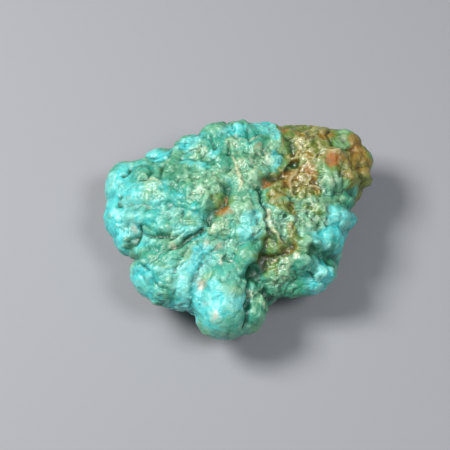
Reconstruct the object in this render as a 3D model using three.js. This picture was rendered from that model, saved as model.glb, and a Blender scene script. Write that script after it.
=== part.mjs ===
// A raw turquoise nugget: one knobbly stone, a little over 50 mm long, lying on its broad underside.
// It grew as many small nodules that run into each other, so its whole skin is swellings and creases.
// A round knob stands out at the front, broad ribs fan out to the left of it, and a rough block of host
// rock makes the back right corner. It is one solid, with nothing inside it and nothing joined on.
import * as THREE from "three";
import { mergeVertices } from "three/addons/utils/BufferGeometryUtils.js";

// Driving dimensions in millimetres. +X runs along the stone, +Y to its back, +Z up.
const LENGTH = 50.5;
const WIDTH = 43;
const HEIGHT = 20;

const WAIST = 9.5; // height of the widest outline, where the upper side turns under
const MELT = 0.5; // how far neighbouring swellings run into each other
const CELLS = 28; // facets along each edge of the cube that the skin is wrapped from
const HEART = { x: 14, y: 11 }; // half sizes of the flat disc inside the stone that rays leave from
const REACH = 20; // a distance from that disc that is outside the stone everywhere
const STEPS = 30; // steps that a ray takes inwards to find the skin
const STEP_SHARE = 0.85; // share of the measured distance that each step covers

// The bulk of the stone: broad ellipsoids, as [x, y, z, half along, half across, half height, turn].
const BULK = [
  [0, 1.5, 9.5, 18, 14.5, 9.6, 0], // middle
  [-13.4, 3.2, 9.3, 10.8, 10, 7.6, 0], // left shoulder
  [-10, -7.5, 9, 9.6, 8, 7.8, 24], // front left
  [-2, -13.5, 9, 6.5, 8, 7.2, 0], // behind the knob
  [10.5, -6.6, 9.3, 8.5, 6.6, 7.8, 0], // front right
  [13.4, 0.5, 9.2, 7.3, 6.2, 7.6, 0], // right edge
  [15, 10, 9.8, 9, 8.5, 8, 0], // rock at the back right
  [8.5, 13.5, 9.6, 7.5, 5.8, 7.4, 0], // between the rock and the back
  [0, 13, 9.8, 11, 7, 7.8, 0], // back
  [3.8, -12.4, 8.2, 3.2, 3.2, 5.6, 0], // corner between the knob and the front right
  [-12.6, 11.6, 9, 3.5, 3.4, 5.6, 0], // corner between the left shoulder and the back
];

// The swellings of the upper side, as [x, y, half along, half across, turn in degrees, lift].
// Lift is how far the top of a swelling stands over the bulk under it.
const LEFT_SHOULDER = [
  [-21.6, 7.6, 3.9, 5.2, 0, 0.9],
  [-22, 1.2, 3.4, 4.4, 0, 0.7],
  [-19.8, -3.6, 3.6, 3, -20, 0.8],
  [-15.2, 13, 3, 2.6, 0, 1.1],
  [-18.2, 10.4, 3.2, 2.2, 0, 0.6],
  [-18.2, 7.4, 2, 2.4, 0, 0.6],
  [-12.4, 8.8, 1.5, 2.8, 12, 0.8],
  [-15.4, 5, 2.6, 1.6, 15, 0.5],
  [-13.2, 2.4, 3.2, 1.5, 0, 0.5],
  [-18.4, 3.6, 2.6, 1.8, 10, 0.4],
  [-16.6, -1.2, 4.6, 1.5, -6, 0.7],
  [-12.4, -3.2, 3.6, 1.8, -4, 1],
  [-8.6, -4.6, 3.4, 1.7, 24, 0.9],
  [-17.2, -6.6, 2.6, 1.7, -20, 0.6],
  [-9.8, 0.2, 2.4, 1.6, 0, 0.5],
];
const FAN_OF_RIBS = [
  [-16, -9, 3.4, 1.9, 30, 0.5],
  [-13.4, -9.8, 4.6, 2.3, 42, 0.4],
  [-12, -12.4, 4.4, 2.6, 48, 0.4],
  [-9.2, -12.2, 4.8, 2.9, 66, 0.6],
  [-6.4, -12.8, 2.4, 4.6, 8, 0.5],
  [-10.8, -14.8, 2.8, 2.4, 0, 0.7],
  [-7.7, -15, 2.6, 2.7, -10, 0.9],
  [-6.9, -16, 2.1, 2.2, 0, 1.3],
  [-18, -10.2, 2.2, 1.8, -40, 0.5],
  [-17.1, -12.2, 3.6, 2.1, -50, 0.8],
  [-14, -13, 2.4, 2, 0, 0.7],
  [-13.4, -14.6, 2.8, 1.8, 10, 0.5],
];
const FRONT_KNOB = [
  [-2.8, -17.9, 5, 4.8, 0, 1.4],
  [-4.6, -19, 3.2, 3.4, 0, 1],
  [-1.4, -19.6, 3.2, 3, 0, 0.9],
  [-2.6, -15.6, 3.8, 3.4, 0, 1.2],
  [3.7, -16.8, 2.1, 2, 0, 2.6],
  [2.6, -18.5, 2.2, 2.1, 0, 2.7],
  [1.5, -20, 1.9, 1.6, 0, 1.7],
  [-3.4, -13, 3.4, 3, 0, 0.9],
];
const MIDDLE = [
  [1.4, -9, 3.1, 3.4, 0, 2],
  [-3.6, -9, 1.8, 2.6, 0, 0.6],
  [1.4, -5, 3, 2, 0, 1],
  [1.6, -0.8, 2.8, 1.7, 10, 0.9],
  [-8, -0.6, 2, 1.6, 0, 0.7],
  [-4.6, 4.2, 1.7, 1.5, 0, 0.7],
];
const BACK = [
  [-11.4, 11.8, 2.1, 2.8, 0, 0.9],
  [-9.4, 15.2, 3, 2.4, 8, 1.2],
  [-7.4, 11.4, 2.2, 1.5, 10, 0.5],
  [-3.2, 8.6, 1.7, 2.6, 0, 0.8],
  [-4.2, 16.2, 3.2, 2.6, 0, 1.1],
  [0.4, 16.6, 2.8, 2.3, 0, 1.1],
  [4.8, 17.2, 2.8, 1.9, 0, 1.2],
  [1, 8.4, 2, 2.4, 0, 0.8],
  [3, 12.6, 2.4, 1.7, 10, 0.9],
  [6.6, 13.6, 2, 1.8, 0, 0.9],
  [5.8, 9.9, 2.2, 1.7, 0, 1.2],
  [3, 5.8, 2.8, 1.6, 18, 0.9],
];
const ROCK = [
  [11.4, 13.6, 2.6, 1.8, 0, 0.8],
  [12, 18, 5, 1.8, -3, 0.9],
  [15.8, 15.8, 2.8, 2.8, 0, 0.4],
  [19.9, 15, 3.4, 3.1, 0, 1.6],
  [22.4, 12.2, 3, 3.2, 0, 1],
  [22.9, 9, 2.2, 2, 0, 0.6],
  [17, 11, 2.8, 2, 0, 0.6],
  [20.2, 7.2, 2.2, 2, 0, 0.7],
  [16.4, 6.2, 2.4, 2.2, 8, 0.9],
  [18.6, 3.4, 2.8, 1.8, 0, 0.8],
  [6.9, 1, 2, 1.9, 0, 0.7],
  [11.6, 2.4, 2, 2.2, 0, 0.8],
  [11.4, 6.2, 2, 1.7, 0, 0.7],
  [12.6, 9.8, 2, 1.6, 0, 0.6],
  [14.4, 4.2, 1.4, 1.8, 0, 0.6],
];
const RIGHT_EDGE = [
  [14.4, 0.2, 1.6, 1.5, 0, 0.9],
  [17.6, -0.4, 3.1, 2.4, 0, 1.2],
  [20, 0.1, 1.9, 1.5, 0, 1.2],
  [16, -4.6, 3.3, 2.8, 0, 1.3],
  [12, -3.8, 1.5, 2.8, 0, 0.9],
  [9.2, -3.6, 1.4, 2.6, 0, 0.9],
  [12.4, -7, 2.4, 1.5, 0, 0.9],
];
const FRONT_RIGHT = [
  [7.2, -11.4, 3.8, 1.5, 18, 1],
  [11.2, -9.8, 2.6, 1.9, 4, 1.2],
  [15.2, -11, 2.4, 1.8, 4, 1.4],
  [13, -12.4, 3, 1.9, 12, 0.8],
  [9.6, -12.7, 3, 1.9, 8, 0.5],
  [5.8, -13.4, 1.8, 1.6, 0, 0.5],
];
const UPPER_SIDE = [
  ...LEFT_SHOULDER,
  ...FAN_OF_RIBS,
  ...FRONT_KNOB,
  ...MIDDLE,
  ...BACK,
  ...ROCK,
  ...RIGHT_EDGE,
  ...FRONT_RIGHT,
];
const LIFT_SHARE = 0.9; // a swelling is this share of its narrower half as tall, plus LIFT_BASE
const LIFT_BASE = 0.8;
const LOWEST_CENTRE = WAIST - 1; // swellings at the rim hang no lower than this

// The broad swellings of the underside, as [x, y, half along, half across, height of the lowest point].
// Those that would reach below the ground are worn flat at it.
const UNDERSIDE = [
  [-15, 3, 7.5, 6.5, 1.2],
  [-8, -6, 8, 6.5, -0.4],
  [0, 7, 9, 7, -0.5],
  [11, -3, 8, 6.5, -0.4],
  [14.5, 8, 7, 6, 0.4],
  [-2, -13, 5.5, 5.5, 1],
  [-7, 12, 6, 5, 1.6],
  [5, 14.5, 5.5, 4, 2],
  [1, -2, 6, 5, 0.2],
];
const UNDERSIDE_HALF_HEIGHT = 7;

const STONE = { color: 0x62a593, roughness: 0.38, metalness: 0 };

// One ellipsoid: its centre, its half sizes, and the cosine and sine of its turn about +Z.
function ellipsoid([x, y, z, along, across, up, turn]) {
  const angle = THREE.MathUtils.degToRad(turn);
  return {
    centre: new THREE.Vector3(x, y, z),
    half: new THREE.Vector3(along, across, up),
    cos: Math.cos(angle),
    sin: Math.sin(angle),
  };
}

// A point as seen from an ellipsoid's centre, along the ellipsoid's own axes.
function inFrameOf(shape, point) {
  const x = point.x - shape.centre.x;
  const y = point.y - shape.centre.y;
  return new THREE.Vector3(
    x * shape.cos + y * shape.sin,
    y * shape.cos - x * shape.sin,
    point.z - shape.centre.z,
  );
}

// Signed distance from a point to an ellipsoid, to first order: negative inside.
function distanceTo(shape, point) {
  const scaled = inFrameOf(shape, point).divide(shape.half);
  const ratio = scaled.length();
  const slope = scaled.divide(shape.half).length();
  return slope > 0 ? (ratio * (ratio - 1)) / slope : -shape.half.z;
}

// Height of the bulk's upper surface at (x, y), and the waist's height beyond its edge.
function topOfBulk(bulk, x, y) {
  const heights = bulk.map((shape) => {
    const p = inFrameOf(shape, new THREE.Vector3(x, y, 0));
    const inside = 1 - (p.x / shape.half.x) ** 2 - (p.y / shape.half.y) ** 2;
    return inside > 0 ? shape.centre.z + shape.half.z * Math.sqrt(inside) : WAIST;
  });
  return Math.max(WAIST, ...heights);
}

// Sets a swelling of the upper side so that its top stands over the bulk by its lift.
function upperSwelling(bulk, [x, y, along, across, turn, lift]) {
  const up = LIFT_SHARE * Math.min(along, across) + LIFT_BASE;
  const z = Math.max(topOfBulk(bulk, x, y) + lift - up, LOWEST_CENTRE);
  return ellipsoid([x, y, z, along, across, up, turn]);
}

function lowerSwelling([x, y, along, across, lowest]) {
  const z = lowest + UNDERSIDE_HALF_HEIGHT;
  return ellipsoid([x, y, z, along, across, UNDERSIDE_HALF_HEIGHT, 0]);
}

// Signed distance to all the shapes melted into one: a soft minimum of their distances.
function distanceToStone(shapes, point) {
  const sum = shapes.reduce((total, shape) => total + Math.exp(-distanceTo(shape, point) / MELT), 0);
  return -MELT * Math.log(sum);
}

// Where the skin lies in a given direction. The ray leaves the heart, the flat disc at the waist, and
// leans outwards with the direction, so that rays spread evenly over a stone wider than it is high.
function skinPoint(shapes, direction) {
  const spread = Math.hypot(direction.x, direction.y);
  const start = new THREE.Vector3(HEART.x * direction.x, HEART.y * direction.y, WAIST);
  const way = new THREE.Vector3(direction.x * spread, direction.y * spread, direction.z).normalize();
  let reach = REACH;
  for (let step = 0; step < STEPS; step += 1) {
    const point = start.clone().addScaledVector(way, reach);
    reach -= STEP_SHARE * distanceToStone(shapes, point);
  }
  return start.addScaledVector(way, reach);
}

// A cube's surface as an even grid of directions: the tangent keeps the cells of one size.
function gridOfDirections() {
  const cube = new THREE.BoxGeometry(2, 2, 2, CELLS, CELLS, CELLS);
  cube.deleteAttribute("normal");
  cube.deleteAttribute("uv");
  const grid = mergeVertices(cube);
  const place = grid.getAttribute("position");
  const even = (value) => Math.tan((value * Math.PI) / 4);
  for (let i = 0; i < place.count; i += 1) {
    const direction = new THREE.Vector3(even(place.getX(i)), even(place.getY(i)), even(place.getZ(i)));
    place.setXYZ(i, ...direction.normalize());
  }
  return grid;
}

// Stretches a geometry to the stone's length, width and height, with its middle over the origin and
// its lowest point on the ground.
function fitToSize(geometry) {
  geometry.computeBoundingBox();
  const size = geometry.boundingBox.getSize(new THREE.Vector3());
  const middle = geometry.boundingBox.getCenter(new THREE.Vector3());
  geometry.translate(-middle.x, -middle.y, -geometry.boundingBox.min.z);
  geometry.scale(LENGTH / size.x, WIDTH / size.y, HEIGHT / size.z);
}

function makeNugget() {
  const bulk = BULK.map(ellipsoid);
  const upper = UPPER_SIDE.map((row) => upperSwelling(bulk, row));
  const shapes = [...bulk, ...upper, ...UNDERSIDE.map(lowerSwelling)];
  const geometry = gridOfDirections();
  const place = geometry.getAttribute("position");
  for (let i = 0; i < place.count; i += 1) {
    const skin = skinPoint(shapes, new THREE.Vector3().fromBufferAttribute(place, i));
    place.setXYZ(i, skin.x, skin.y, Math.max(skin.z, 0));
  }
  fitToSize(geometry);
  geometry.computeVertexNormals();
  const nugget = new THREE.Mesh(geometry, new THREE.MeshStandardMaterial(STONE));
  nugget.name = "nugget";
  return nugget;
}

const stone = new THREE.Group();
stone.add(makeNugget());

export default stone;
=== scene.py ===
# %% [markdown]
# # A raw turquoise nugget
# Turquoise fills cracks and hollows in rock as round nodules that grow until they touch. Broken out of
# the rock and rolled about, the mass becomes a nugget: one stone, all lumps and creases, waxy where it
# is pure and rough and brown where the host rock still clings. This lesson builds one such stone.
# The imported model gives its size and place, and everything below is worked out from that.

# %% Load the frame
import math

import bpy
import numpy as np
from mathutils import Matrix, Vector


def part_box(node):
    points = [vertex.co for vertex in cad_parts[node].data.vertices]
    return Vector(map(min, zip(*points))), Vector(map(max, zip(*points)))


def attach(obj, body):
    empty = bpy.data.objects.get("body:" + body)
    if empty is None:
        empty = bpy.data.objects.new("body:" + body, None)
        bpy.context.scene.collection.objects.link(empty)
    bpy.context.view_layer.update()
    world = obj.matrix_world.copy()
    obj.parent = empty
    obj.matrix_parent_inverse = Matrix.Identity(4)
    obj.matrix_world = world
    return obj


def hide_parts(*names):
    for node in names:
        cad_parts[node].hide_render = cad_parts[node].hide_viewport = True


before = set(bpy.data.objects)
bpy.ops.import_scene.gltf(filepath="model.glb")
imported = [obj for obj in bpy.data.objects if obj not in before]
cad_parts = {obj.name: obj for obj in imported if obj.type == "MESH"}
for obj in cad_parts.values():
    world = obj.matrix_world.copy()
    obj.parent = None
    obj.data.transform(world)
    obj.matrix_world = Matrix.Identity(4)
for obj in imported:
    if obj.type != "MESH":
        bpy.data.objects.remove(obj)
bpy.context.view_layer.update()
low, high = (np.array(corner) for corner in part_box("nugget"))
length, width, height = (float(side) for side in high - low)
middle = Vector((low + high) / 2)
print(f"stone {length * 1000:.1f} x {width * 1000:.1f} x {height * 1000:.1f} mm")

# %% [markdown]
# ## Camera
# The stone is seen from above and in front, with a long lens so that the knob in front doesn't loom.
# It sits a little off the middle of the view, so the camera is aimed just beside it.

# %% Camera
VIEW_FROM_ABOVE = math.radians(65)
LENS = 100
SENSOR = 36
CAMERA_DISTANCE = 4.579 * length
NEAREST_SEEN = 0.1 * CAMERA_DISTANCE
AIM_LEFT = 0.0530 * length
AIM_ABOVE = 0.0205 * length

look = Vector((0, math.cos(VIEW_FROM_ABOVE), -math.sin(VIEW_FROM_ABOVE)))
view_up = Vector((0, math.sin(VIEW_FROM_ABOVE), math.cos(VIEW_FROM_ABOVE)))
aim = middle - Vector((AIM_LEFT, 0, 0)) + AIM_ABOVE * view_up
camera_data = bpy.data.cameras.new("camera")
camera_data.lens = LENS
camera_data.sensor_width = SENSOR
camera_data.clip_start = NEAREST_SEEN
camera = bpy.data.objects.new("camera", camera_data)
camera.location = aim - CAMERA_DISTANCE * look
camera.rotation_euler = look.to_track_quat("-Z", "Y").to_euler()
bpy.context.scene.collection.objects.link(camera)
bpy.context.scene.camera = camera
print(f"camera {CAMERA_DISTANCE * 1000:.0f} mm away")

# %% [markdown]
# ## Floor
# A stone like this is shown on one sheet of plain paper that lies flat and then curves up into a wall,
# so that no edge shows behind it. A bent plane would do from one side. A round sheet does from every
# side: the flat's edge is carried up a quarter circle, all the way round.

# %% Floor
FLOOR_RADIUS = 5.5 * length
SWEEP_RADIUS = 5 * length
WALL_HEIGHT = 14 * length
SWEEP_STEPS = 16
TURN_STEPS = 96
PAPER_GREY = (0.29, 0.295, 0.315)
PAPER_ROUGHNESS = 0.9


def paper_sweep():
    """A round floor that curves up into a wall: rings whose radius and height follow a quarter circle
    after the flat, joined by four-sided cells, with one many-sided face for the flat."""
    bend = np.linspace(0, math.pi / 2, SWEEP_STEPS)
    radius = np.append(FLOOR_RADIUS + SWEEP_RADIUS * np.sin(bend), FLOOR_RADIUS + SWEEP_RADIUS)
    rise = np.append(SWEEP_RADIUS * (1 - np.cos(bend)), WALL_HEIGHT)
    around = np.linspace(0, 2 * math.pi, TURN_STEPS, endpoint=False)
    x = radius[:, None] * np.cos(around)
    y = radius[:, None] * np.sin(around)
    z = np.broadcast_to(low[2] + rise[:, None], x.shape)
    points = np.stack([x, y, z], axis=-1).reshape(-1, 3)
    ring = np.arange(SWEEP_STEPS)[:, None] * TURN_STEPS
    here = ring + np.arange(TURN_STEPS)
    onward = ring + (np.arange(TURN_STEPS) + 1) % TURN_STEPS
    cells = np.stack([here, here + TURN_STEPS, onward + TURN_STEPS, onward], axis=-1).reshape(-1, 4)
    mesh = bpy.data.meshes.new("floor")
    mesh.from_pydata(points.tolist(), [], [tuple(range(TURN_STEPS))] + cells.tolist())
    mesh.polygons.foreach_set("use_smooth", np.ones(len(mesh.polygons), dtype=bool))
    return mesh


def paper_material():
    """One grey and one roughness, with nothing on it to draw the eye from the stone."""
    material = bpy.data.materials.new("paper")
    material.use_nodes = True
    shader = material.node_tree.nodes["Principled BSDF"]
    shader.inputs["Base Color"].default_value = (*PAPER_GREY, 1)
    shader.inputs["Roughness"].default_value = PAPER_ROUGHNESS
    return material


floor_mesh = paper_sweep()
floor_mesh.materials.append(paper_material())
floor = bpy.data.objects.new("floor", floor_mesh)
bpy.context.scene.collection.objects.link(floor)
print(f"paper flat for {FLOOR_RADIUS * 1000:.0f} mm each way, then curved up")

# %% [markdown]
# ## Light
# One broad lamp up and to the left, like a window, draws the highlights on every fold. A weaker one
# overhead and a faint one in front fill the other sides, and a pale sky keeps the creases open. The
# lamps stand in stone lengths, and their power grows with its square, so the light suits any size.

# %% Light
# name, direction, distance and size in stone lengths, power, colour
LAMPS = [
    ("window", (-0.70, 0.12, 1.0), 7, 2.4, 620, (1.0, 0.99, 0.97)),
    ("overhead", (0.5, -0.25, 1.1), 8, 2.4, 320, (0.96, 0.98, 1.0)),
    ("front_fill", (-0.1, -1.0, 0.9), 8, 4.0, 20, (0.97, 0.98, 1.0)),
]
SKY_LIGHT = (0.80, 0.84, 0.90)
SKY_STRENGTH = 0.21


def add_lamp(name, direction, distance, size, power, color):
    """An area lamp looking at the stone: it sits distance stone lengths away along direction."""
    data = bpy.data.lights.new(name, "AREA")
    data.size = size * length
    data.energy = power * length**2
    data.color = color
    lamp = bpy.data.objects.new(name, data)
    way = Vector(direction).normalized()
    lamp.location = middle + distance * length * way
    lamp.rotation_euler = (-way).to_track_quat("-Z", "Y").to_euler()
    bpy.context.scene.collection.objects.link(lamp)


for lamp_row in LAMPS:
    add_lamp(*lamp_row)
world = bpy.data.worlds.new("sky")
world.use_nodes = True
world.node_tree.nodes["Background"].inputs["Color"].default_value = (*SKY_LIGHT, 1)
world.node_tree.nodes["Background"].inputs["Strength"].default_value = SKY_STRENGTH
bpy.context.scene.world = world
bpy.context.scene.view_settings.view_transform = "Standard"
print(f"{len(LAMPS)} lamps and a pale sky")

# %% [markdown]
# ## The grid that the skin is made on
# A stone closes on itself, so its skin is wrapped from a cube: six square grids meet edge to edge, with
# no pole where lines crowd. Each grid point is a direction from the middle of the stone. The tangent
# evens the cells out, as on a globe cut along six square maps.

# %% Grid of directions
CELLS = 128


def cube_grid(cells):
    """The corners of a cube's surface cells, counted in whole cells, joined where the six faces meet.
    Returns the corners (n x 3), the cells as four corner numbers each, facing outwards, and each
    corner's number on its own face (6 x cells+1 x cells+1)."""
    steps = np.arange(cells + 1)
    u, v = np.meshgrid(steps, steps, indexing="ij")
    near = np.zeros_like(u)
    far = np.full_like(u, cells)
    faces = [(far, u, v), (near, v, u), (v, far, u), (u, near, v), (u, v, far), (v, u, near)]
    corners = np.stack([np.stack(face, axis=-1) for face in faces]).reshape(-1, 3)
    key = (corners[:, 0] * (cells + 1) + corners[:, 1]) * (cells + 1) + corners[:, 2]
    _, first, number = np.unique(key, return_index=True, return_inverse=True)
    numbers = number.reshape(6, cells + 1, cells + 1)
    quads = np.stack(
        [numbers[:, :-1, :-1], numbers[:, 1:, :-1], numbers[:, 1:, 1:], numbers[:, :-1, 1:]], axis=-1
    )
    return corners[first], quads.reshape(-1, 4), numbers


def even_directions(corners, cells):
    """Unit directions: each coordinate runs from -1 to 1 as the tangent of an angle, which keeps the
    cells of one size, and the result is divided by its length."""
    spread = np.tan((corners / cells * 2 - 1) * math.pi / 4)
    return spread / np.linalg.norm(spread, axis=1, keepdims=True)


grid_corners, quads, face_numbers = cube_grid(CELLS)
directions = even_directions(grid_corners, CELLS)
print(f"{len(directions)} points, {len(quads)} cells")

# %% [markdown]
# ## The bulk and its swellings
# The shape is told as a sculptor would: a few big lumps for the bulk, then each nodule that shows as a
# swelling of its own. Sizes are in millimetres on a stone 50.5 mm long, with +X to the right, +Y to the
# back and +Z up. A swelling's lift is how far it stands out of the bulk beneath it. The lumps could be
# sculpted by hand too, but as numbers each one can be moved or mended by itself.

# %% Tables of lumps
# height of the stone's widest part, where above and below meet
WAIST = 9.5

# x, y, z, half along, half across, half height, turn in degrees
BULK = np.array([
    (0, 1.5, 9.5, 18, 14.5, 9.6, 0),  # middle
    (-13.4, 3.2, 9.3, 10.8, 10, 7.6, 0),  # left shoulder
    (-10, -7.5, 9, 9.6, 8, 7.8, 24),  # front left
    (-2, -13.5, 9, 6.5, 8, 7.2, 0),  # behind the knob
    (10.5, -6.6, 9.3, 8.5, 6.6, 7.8, 0),  # front right
    (13.4, 0.5, 9.2, 7.3, 6.2, 7.6, 0),  # right edge
    (15, 10, 9.8, 9, 8.5, 8, 0),  # rock at the back right
    (8.5, 13.5, 9.6, 7.5, 5.8, 7.4, 0),  # between the rock and the back
    (0, 13, 9.8, 11, 7, 7.8, 0),  # back
    (3.8, -12.4, 8.2, 3.2, 3.2, 5.6, 0),  # corner between the knob and the front right
    (-12.6, 11.6, 9, 3.5, 3.4, 5.6, 0),  # corner between the left shoulder and the back
])

# x, y, half along, half across, turn in degrees, lift
SWELLINGS = np.array([
    # left shoulder: round nodules round the rim, and long folds in the hollow inside it
    (-21.6, 7.6, 3.9, 5.2, 0, 0.9),
    (-22.0, 1.2, 3.4, 4.4, 0, 0.7),
    (-19.8, -3.6, 3.6, 3.0, -20, 0.8),
    (-15.2, 13.0, 3.0, 2.6, 0, 1.1),
    (-18.2, 10.4, 3.2, 2.2, 0, 0.6),
    (-18.2, 7.4, 2.0, 2.4, 0, 0.6),
    (-12.4, 8.8, 1.5, 2.8, 12, 0.8),
    (-15.4, 5.0, 2.6, 1.6, 15, 0.5),
    (-13.2, 2.4, 3.2, 1.5, 0, 0.5),
    (-18.4, 3.6, 2.6, 1.8, 10, 0.4),
    (-16.6, -1.2, 4.6, 1.5, -6, 0.7),
    (-12.4, -3.2, 3.6, 1.8, -4, 1.0),
    (-16.4, -4.2, 2.6, 1.2, -8, 0.6),
    (-8.6, -4.6, 3.4, 1.7, 24, 0.9),
    (-14.0, -6.5, 3.2, 1.3, -4, 0.5),
    (-17.2, -6.6, 2.6, 1.7, -20, 0.6),
    (-9.8, 0.2, 2.4, 1.6, 0, 0.5),
    # the fan of ribs at the front left
    (-16.0, -9.0, 3.4, 1.9, 30, 0.5),
    (-13.4, -9.8, 4.6, 2.3, 42, 0.4),
    (-12.0, -12.4, 4.4, 2.6, 48, 0.4),
    (-9.2, -12.2, 4.8, 2.9, 66, 0.6),
    (-6.4, -12.8, 2.4, 4.6, 8, 0.5),
    (-10.8, -14.8, 2.8, 2.4, 0, 0.7),
    (-7.7, -15.0, 2.6, 2.7, -10, 0.9),
    (-6.9, -16.0, 2.1, 2.2, 0, 1.3),
    (-18.0, -10.2, 2.2, 1.8, -40, 0.5),
    (-17.1, -12.2, 3.6, 2.1, -50, 0.8),
    (-14.0, -13.0, 2.4, 2.0, 0, 0.7),
    (-13.4, -14.6, 2.8, 1.8, 10, 0.5),
    # the knob in front and the smaller one beside it
    (-2.8, -17.9, 5.0, 4.8, 0, 1.4),
    (-4.6, -19.0, 3.2, 3.4, 0, 1.0),
    (-1.4, -19.6, 3.2, 3.0, 0, 0.9),
    (-2.6, -15.6, 3.8, 3.4, 0, 1.2),
    (3.7, -16.8, 2.1, 2.0, 0, 2.6),
    (2.6, -18.5, 2.2, 2.1, 0, 2.7),
    (1.5, -20.0, 1.9, 1.6, 0, 1.7),
    (-3.4, -13.0, 3.4, 3.0, 0, 0.9),
    # the middle
    (1.4, -9.0, 3.1, 3.4, 0, 2.0),
    (-3.6, -9.0, 1.8, 2.6, 0, 0.6),
    (1.4, -5.0, 3.0, 2.0, 0, 1.0),
    (4.3, -3.4, 1.0, 2.6, 8, 1.0),
    (-4.2, -4.6, 3.0, 1.2, -20, 0.8),
    (1.6, -0.8, 2.8, 1.7, 10, 0.9),
    (-8.0, -0.6, 2.0, 1.6, 0, 0.7),
    (-6.0, 0.8, 1.0, 2.2, -18, 0.7),
    (-9.4, 3.2, 1.0, 2.6, 6, 0.7),
    (-7.0, 3.6, 1.1, 2.0, 0, 0.6),
    (-4.6, 4.2, 1.7, 1.5, 0, 0.7),
    # the back
    (-11.4, 11.8, 2.1, 2.8, 0, 0.9),
    (-9.4, 15.2, 3.0, 2.4, 8, 1.2),
    (-7.4, 11.4, 2.2, 1.5, 10, 0.5),
    (-5.0, 11.0, 1.3, 1.5, 0, 0.8),
    (-9.8, 9.2, 1.9, 1.3, 25, 0.8),
    (-7.0, 8.2, 1.7, 1.2, -20, 0.8),
    (-10.8, 6.2, 1.6, 1.2, 0, 0.7),
    (-13.4, 10.6, 1.5, 1.2, 0, 0.7),
    (-3.2, 8.6, 1.7, 2.6, 0, 0.8),
    (-4.2, 16.2, 3.2, 2.6, 0, 1.1),
    (0.4, 16.6, 2.8, 2.3, 0, 1.1),
    (4.8, 17.2, 2.8, 1.9, 0, 1.2),
    (1.0, 8.4, 2.0, 2.4, 0, 0.8),
    (3.0, 12.6, 2.4, 1.7, 10, 0.9),
    (6.6, 13.6, 2.0, 1.8, 0, 0.9),
    (5.8, 9.9, 2.2, 1.7, 0, 1.2),
    (3.0, 5.8, 2.8, 1.6, 18, 0.9),
    (8.7, 8.6, 0.8, 2.7, -28, 0.9),
    # the block of host rock
    (11.4, 13.6, 2.6, 1.8, 0, 0.8),
    (12.0, 18.0, 5.0, 1.8, -3, 0.9),
    (15.8, 15.8, 2.8, 2.8, 0, 0.4),
    (19.9, 15.0, 3.4, 3.1, 0, 1.6),
    (22.4, 12.2, 3.0, 3.2, 0, 1.0),
    (22.9, 9.0, 2.2, 2.0, 0, 0.6),
    (17.0, 11.0, 2.8, 2.0, 0, 0.6),
    (20.2, 7.2, 2.2, 2.0, 0, 0.7),
    (16.4, 6.2, 2.4, 2.2, 8, 0.9),
    (18.6, 3.4, 2.8, 1.8, 0, 0.8),
    (6.4, 3.8, 2.2, 1.3, 10, 0.6),
    (6.9, 1.0, 2.0, 1.9, 0, 0.7),
    (7.2, -0.9, 1.5, 1.3, 0, 0.9),
    (11.6, 2.4, 2.0, 2.2, 0, 0.8),
    (11.4, 6.2, 2.0, 1.7, 0, 0.7),
    (12.6, 9.8, 2.0, 1.6, 0, 0.6),
    (14.4, 4.2, 1.4, 1.8, 0, 0.6),
    # the right edge
    (14.4, 0.2, 1.6, 1.5, 0, 0.9),
    (17.6, -0.4, 3.1, 2.4, 0, 1.2),
    (20.0, 0.1, 1.9, 1.5, 0, 1.2),
    (16.0, -4.6, 3.3, 2.8, 0, 1.3),
    (12.0, -3.8, 1.5, 2.8, 0, 0.9),
    (9.2, -3.6, 1.4, 2.6, 0, 0.9),
    (6.0, -4.6, 1.0, 3.2, 20, 0.8),
    (12.4, -7.0, 2.4, 1.5, 0, 0.9),
    (6.6, -7.6, 1.6, 1.2, 0, 0.7),
    # front right
    (7.2, -11.4, 3.8, 1.5, 18, 1.0),
    (11.2, -9.8, 2.6, 1.9, 4, 1.2),
    (15.2, -11.0, 2.4, 1.8, 4, 1.4),
    (13.0, -12.4, 3.0, 1.9, 12, 0.8),
    (9.6, -12.7, 3.0, 1.9, 8, 0.5),
    (5.8, -13.4, 1.8, 1.6, 0, 0.5),
])
LIFT_SHARE = 0.9
LIFT_BASE = 0.8

# the underside: x, y, half along, half across, height of the lowest point
UNDERSIDE = np.array([
    (-15, 3, 7.5, 6.5, 1.2),
    (-8, -6, 8, 6.5, -0.4),
    (0, 7, 9, 7, -0.5),
    (11, -3, 8, 6.5, -0.4),
    (14.5, 8, 7, 6, 0.4),
    (-2, -13, 5.5, 5.5, 1),
    (-7, 12, 6, 5, 1.6),
    (5, 14.5, 5.5, 4, 2),
    (1, -2, 6, 5, 0.2),
])
UNDERSIDE_HALF_HEIGHT = 7


def top_of_bulk(x, y):
    """Height of the highest bulk ellipsoid over each (x, y): its centre's height plus its half height
    times the square root of what is left of one after both plan distances, squared, are taken off."""
    turn = np.radians(BULK[:, 6])
    dx = x[:, None] - BULK[:, 0]
    dy = y[:, None] - BULK[:, 1]
    along = (dx * np.cos(turn) + dy * np.sin(turn)) / BULK[:, 3]
    across = (dy * np.cos(turn) - dx * np.sin(turn)) / BULK[:, 4]
    left = 1 - along**2 - across**2
    tops = np.where(left > 0, BULK[:, 2] + BULK[:, 5] * np.sqrt(np.maximum(left, 0)), WAIST)
    return np.maximum(tops.max(axis=1), WAIST)


def upper_lumps():
    """The swellings as ellipsoids like the bulk's: each is as tall as a share of its narrower half and
    hangs with its top a lift above the bulk."""
    x, y, along, across, turn, lift = SWELLINGS.T
    up = LIFT_SHARE * np.minimum(along, across) + LIFT_BASE
    z = np.maximum(top_of_bulk(x, y) + lift - up, WAIST - 1)
    return np.stack([x, y, z, along, across, up, turn], axis=1)


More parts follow.
